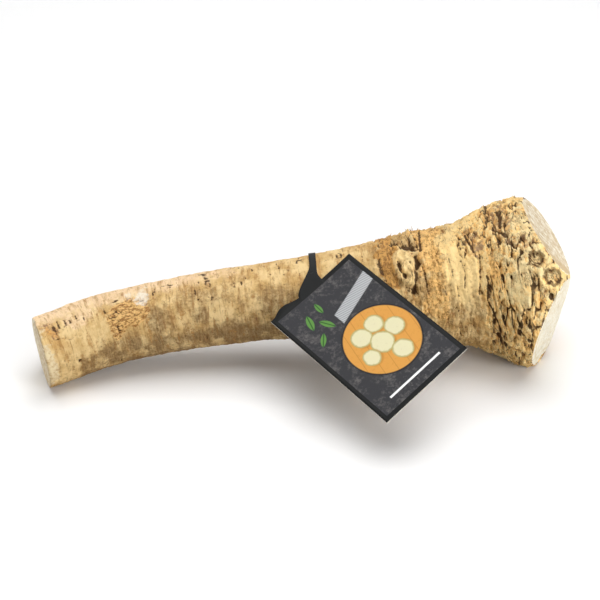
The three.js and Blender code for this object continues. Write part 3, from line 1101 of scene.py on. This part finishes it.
def card_place(across, down):
    """A point of the card, in millimetres across it and down it from its upper edge."""
    dip = CARD_DIP * bell(max(down, 0), 0, CARD_DIP_LENGTH) * max(1 - (2 * across / CARD_WIDTH) ** 2, 0)
    return CARD_EDGE + CARD_RIGHT * across + CARD_DOWN * down - CARD_FACES * dip


def strap_place(angle, across):
    """A point of the strap, at an angle round the root and in millimetres across the strap."""
    place, _, ahead = off_skin(STRAP_X, angle, STRAP_GAP + CARD_THICKNESS / 2)
    return place + ahead * across


def neck_place(share_down, across_share):
    """A point of the neck: the strap where share_down is 0, and the card's upper edge where it is 1."""
    on_strap = across_share * STRAP_WIDTH
    start, end = strap_place(NECK_STARTS, on_strap), card_place(across_share * NECK_WIDTH, 0)
    leave = unit(strap_place(NECK_STARTS + SMALL_TURN, on_strap) - start) * NECK_LENGTH
    return curve_between(start, end, leave, CARD_DOWN * NECK_LENGTH, share_down)


# %% Cut the tag out
CARD_COLUMNS, CARD_ROWS = 42, 30
NECK_RINGS, STRAP_RINGS = 14, 96
STRAP_TURN = 2 * pi * 0.97
SHOULDER_RISE, SHOULDER_AT, SHOULDER_WIDTH = 2.4, -15.5, 8
RISE_FROM_SIDE, RISE_ENDS_DOWN = 5, 6


def add_row(sheet, row, targets):
    """Adds a row of vertices at the targets, and faces that join it to the row before."""
    fresh = [sheet.verts.new(Vector(target) * MM) for target in targets]
    for i in range(1, len(row)):
        sheet.faces.new((row[i], row[i - 1], fresh[i - 1], fresh[i]))
    return fresh


def make_sheet():
    """The tag with no thickness. Its flat layer keeps each vertex's place on the uncut sheet."""
    sheet = bmesh.new()
    bmesh.ops.create_grid(sheet, x_segments=CARD_COLUMNS, y_segments=CARD_ROWS, size=0.5)
    flat = sheet.verts.layers.float_vector.new("flat")
    for vertex in sheet.verts:
        across = vertex.co.x * CARD_WIDTH
        down = (0.5 - vertex.co.y) * CARD_LENGTH
        rise = SHOULDER_RISE * bell(across, SHOULDER_AT, SHOULDER_WIDTH) ** 2
        rise *= min(1, (across + CARD_WIDTH / 2) / RISE_FROM_SIDE) * max(0, 1 - down / RISE_ENDS_DOWN)
        vertex[flat] = Vector((across, down - rise, 0))
        vertex.co = Vector(card_place(across, down - rise)) * MM
    neck_half = NECK_WIDTH / 2 + 0.4 * CARD_WIDTH / CARD_COLUMNS
    row = [v for v in sheet.verts if v[flat][1] < 1e-6 and abs(v[flat][0]) < neck_half]
    row.sort(key=lambda v: v[flat][0])
    shares = np.linspace(-0.5, 0.5, len(row))
    for number in range(1, NECK_RINGS + STRAP_RINGS + 1):
        on_strap = number - NECK_RINGS
        if on_strap > 0:
            angle = NECK_STARTS - STRAP_TURN * on_strap / STRAP_RINGS
            targets = [strap_place(angle, s * STRAP_WIDTH) for s in shares]
        else:
            targets = [neck_place(-on_strap / NECK_RINGS, s) for s in shares]
        row = add_row(sheet, row, targets)
        for vertex, s in zip(row, shares):
            vertex[flat] = Vector((s * STRAP_WIDTH, -number, 0))
    return sheet


def make_tag():
    sheet = make_sheet()
    flat = sheet.verts.layers.float_vector["flat"]
    print_map = sheet.loops.layers.uv.new("print")
    for face in sheet.faces:
        for loop in face.loops:
            across, down, _ = loop.vert[flat]
            loop[print_map].uv = (across * MM, -down * MM)
    bmesh.ops.recalc_face_normals(sheet, faces=sheet.faces)
    piece = make_piece("loop_tag_card", sheet)
    thickness = piece.modifiers.new("thickness", "SOLIDIFY")
    thickness.thickness = CARD_THICKNESS * MM
    thickness.offset = 0
    thickness.use_even_offset = True
    thickness.material_offset_rim = 1
    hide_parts("loop_tag")
    return piece


tag = make_tag()
print("tag:", len(tag.data.vertices), "vertices", [round(c, 4) for c in tag.data.polygons[0].normal])


# %% The tag's finish
INK = colour("101111")
SLATE, SLATE_LIGHT = colour("323235"), colour("605d5c")
BOARD_WOOD, BOARD_DARK = colour("d49848"), colour("a66e30")
SLICE, SLICE_EDGE = colour("dcd6b0"), colour("b2a66c")
LEAF, LEAF_DARK = colour("5c8c42"), colour("345c2c")
STEEL, STEEL_DARK = colour("c4c6c8"), colour("787a7c")
WHITE = colour("f5f5f3")
BORDER = 2.3
BOARD_AT, BOARD_RADIUS, PLANK_WIDTH = (3, 44), 17.5, 3.1
SLICES = [(-3, 37, 5.0), (6, 35.5, 4.6), (11.5, 43, 4.8), (2, 45, 5.6), (-6.5, 47.5, 4.2), (6, 54, 4.8)]
STEEL_DOWN, STEEL_FROM, STEEL_HALF = 21.5, -3, 3.2
LEAVES = [(-13, 14, 20, 3.2, 9), (-8, 20, -25, 3.0, 8.5), (-15, 25, 45, 2.6, 7.5), (-5, 11, 5, 2.4, 7)]
RULE_DOWN, RULE_HALF_THICK, RULE_HALF_LONG = 67.5, 0.5, 15


def make_print():
    """A slate ground with a round board, pale slices, leaves, a steel band and a plain rule."""
    material, board, shader = new_finish("printed_card", Roughness=0.55, Specular_IOR_Level=0.12)
    place = board.node("UVMap", {"uv_map": "print"})
    blend, ramp, compute = board.blend, board.ramp, board.math
    apart = board.node("SeparateXYZ", inputs={"Vector": place})
    across, down = apart * (1 / MM), apart.other("Y") * (-1 / MM)

    def inside(distance, soft=0.25):
        return ramp(distance, soft, -soft)

    def disc(x, y, radius):
        return compute("SQRT", (across - x) * (across - x) + (down - y) * (down - y)) - radius

    def leaf(x, y, degrees, wide, long):
        """The distance from a leaf's edge, and the distance from its vein."""
        lean = radians(degrees)
        beside = abs((across - x) * cos(lean) + (down - y) * sin(lean))
        up = (down - y) * cos(lean) - (across - x) * sin(lean)
        return beside + up * up * (2 * wide / long**2) - wide / 2, beside

    speck = board.noise(place, 1.6 * MM, detail=4, roughness=0.7)
    cloud = board.noise(place, 7 * MM, detail=3)
    tone = blend(ramp(speck + (cloud - 0.5), 0.45, 0.85), SLATE, SLATE_LIGHT)
    round_board = disc(*BOARD_AT, BOARD_RADIUS)
    plank = ramp(compute("PINGPONG", across + down * 0.25, PLANK_WIDTH), 0.0, 0.35)
    wood = blend(plank * 0.5 + 0.5, BOARD_DARK, BOARD_WOOD)
    wood = blend(ramp(speck, 0.5, 0.8) * 0.4, wood, BOARD_DARK)
    tone = blend(inside(round_board - 0.8) * 0.7, tone, INK)
    tone = blend(inside(round_board), tone, wood)
    for x, y, radius in SLICES:
        slice_edge = disc(x, y, radius) + (cloud - 0.5) * 1.6
        tone = blend(inside(disc(x + 0.5, y + 0.7, radius), 0.6) * 0.5, tone, BOARD_DARK)
        face = blend(ramp(slice_edge + (speck - 0.5), -1.1, -0.2), SLICE, SLICE_EDGE)
        face = blend(ramp(speck, 0.55, 0.8) * 0.5, face, SLICE_EDGE)
        tone = blend(inside(slice_edge), tone, face)
    steel = inside(abs(across * 0.3 + down - STEEL_DOWN) - STEEL_HALF)
    steel = steel * ramp(across, STEEL_FROM, STEEL_FROM + 0.5)
    stripes = ramp(compute("PINGPONG", across * 1.4 - down * 0.4, 0.6), 0.1, 0.4)
    tone = blend(steel, tone, blend(stripes * 0.8 + 0.1, STEEL_DARK, STEEL))
    for leaf_shape in LEAVES:
        edge, off_vein = leaf(*leaf_shape)
        green = blend(ramp(off_vein, 0.1, 0.5), LEAF_DARK, LEAF)
        tone = blend(inside(edge, 0.2), tone, green)
    rule = board.highest(abs(down - RULE_DOWN) - RULE_HALF_THICK, abs(across) - RULE_HALF_LONG)
    tone = blend(inside(rule, 0.15), tone, WHITE)
    past_side = abs(across) - (CARD_WIDTH / 2 - BORDER)
    rim = board.highest(past_side, BORDER - down, down - (CARD_LENGTH - BORDER))
    tone = blend(ramp(rim, -0.1, 0.1), tone, INK)
    board.feed(shader, {"Base Color": tone})
    return material


card_core, *_ = new_finish("card_core", Roughness=0.9, Base_Color=colour("e1dcd2"))
tag.data.materials.append(make_print())
tag.data.materials.append(card_core)

# %% [markdown]
# ## Floor and light
#
# The floor is white and plain. A camera ray sees it a little brighter than it is, so that it fades
# to white, but it keeps the shadow. A single lamp would leave the cut faces dull, so six share the
# work. A large soft one hangs above, and one behind keeps the far floor white. A weak one in front
# and a small one near the crown lift the shade, and a low one on each side lights a cut end. The
# world is dim, apart from where the camera sees it.


# %% The floor
FLOOR_HALF = 3
FLOOR_LIT, FLOOR_SEEN = colour("ccc8c0"), colour("fafafa")
FLOOR_GLOW = (0.02, 0.02, 0.02, 1)
slab = bmesh.new()
bmesh.ops.create_grid(slab, x_segments=1, y_segments=1, size=FLOOR_HALF)
floor = add_object("floor", mesh_data("floor", slab))
fixed = dict(Roughness=1, Specular_IOR_Level=0, Emission_Strength=1)
material, board, shader = new_finish("floor", **fixed)
seen = board.node("LightPath")
white, glow = board.blend(seen, FLOOR_LIT, FLOOR_SEEN), board.blend(seen, (0, 0, 0, 1), FLOOR_GLOW)
board.feed(shader, {"Base Color": white, "Emission Color": glow})
floor.data.materials.append(material)
print("floor:", 2 * FLOOR_HALF, "metres wide")

# %% Lamps and world
# Each lamp: its place, what it faces, its size in metres and its power in watts.
LAMPS = {
    "key": ((0, 0.1, 1.25), (0, 0.02, 0), 1.4, 16.6),
    "back": ((0, 1, 1.2), (0, 0.3, 0), 0.6, 4),
    "front": ((0.45, -0.95, 0.95), (0.06, 0, 0), 0.6, 1.6),
    "right": ((1.2, -0.46, 0.12), (0.12, 0, 0.03), 0.25, 4.9),
    "left": ((-1.3, 0.03, 0.1), (-0.12, 0, 0.03), 0.2, 5),
    "crown": ((0.42, -0.45, 0.22), (0.1, -0.02, 0.02), 0.25, 1.65),
}
WORLD_LEVEL = 0.09
for name, (place, target, size, power) in LAMPS.items():
    lamp = bpy.data.lights.new(name, "AREA")
    lamp.shape = "SQUARE"
    lamp.size = size
    lamp.energy = power
    stand_facing(add_object(name, lamp), Vector(place), Vector(target))
world = bpy.data.worlds.new("studio")
bpy.context.scene.world = world
world.use_nodes = True
board = Board(world.node_tree)
background = world.node_tree.nodes["Background"]
path = board.node("LightPath")
seen = board.highest(path, path.other("Is Glossy Ray"), path.other("Is Transmission Ray"))
board.feed(background, {"Color": (1, 1, 1, 1), "Strength": WORLD_LEVEL + seen * (1 - WORLD_LEVEL)})
bpy.context.scene.view_settings.view_transform = "Standard"
print("lamps:", ", ".join(LAMPS))
